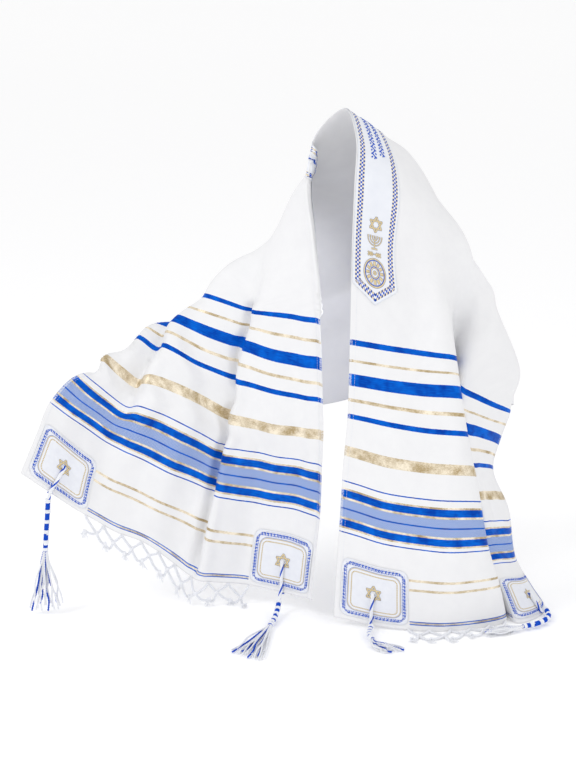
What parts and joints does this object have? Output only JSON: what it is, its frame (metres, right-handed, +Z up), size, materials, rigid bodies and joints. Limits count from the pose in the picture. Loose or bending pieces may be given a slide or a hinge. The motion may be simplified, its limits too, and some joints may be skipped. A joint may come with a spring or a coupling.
{
  "type": "prayer shawl",
  "caption": "Long woven prayer shawl worn over the head, with striped ends, a pointed neckband, corner patches, knotted corner tassels and net fringe.",
  "frame": {"origin": "the crown of the hood, at the middle of the cloth's front edge, where the wearer's head carries the shawl", "axes": "+Z up, -Y the way the wearer faces, +X to the wearer's left"},
  "size_m": [0.7208, 0.7793, 0.9235],
  "materials": {
    "shawl_cloth": "matte woven white polyester with blue satin and gold metallic stripes",
    "neckband": "satin woven ribbon with a blue and gold checked border",
    "corner_patch": "satin woven patch with blue and gold outlines",
    "tassel_cord": "twisted white and royal blue cotton cord",
    "fringe_yarn": "matte twisted white yarn"
  },
  "bodies": {
    "root": {"shawl_cloth": "shawl_cloth", "neckband": "neckband", "corner_patch_right_front": "corner_patch", "corner_patch_right_back": "corner_patch", "corner_patch_left_front": "corner_patch", "corner_patch_left_back": "corner_patch", "tassel_right_front": "tassel_cord", "tassel_right_back": "tassel_cord", "tassel_left_front": "tassel_cord", "tassel_left_back": "tassel_cord", "fringe_right": "fringe_yarn", "fringe_left": "fringe_yarn"}
  },
  "joints": []
}
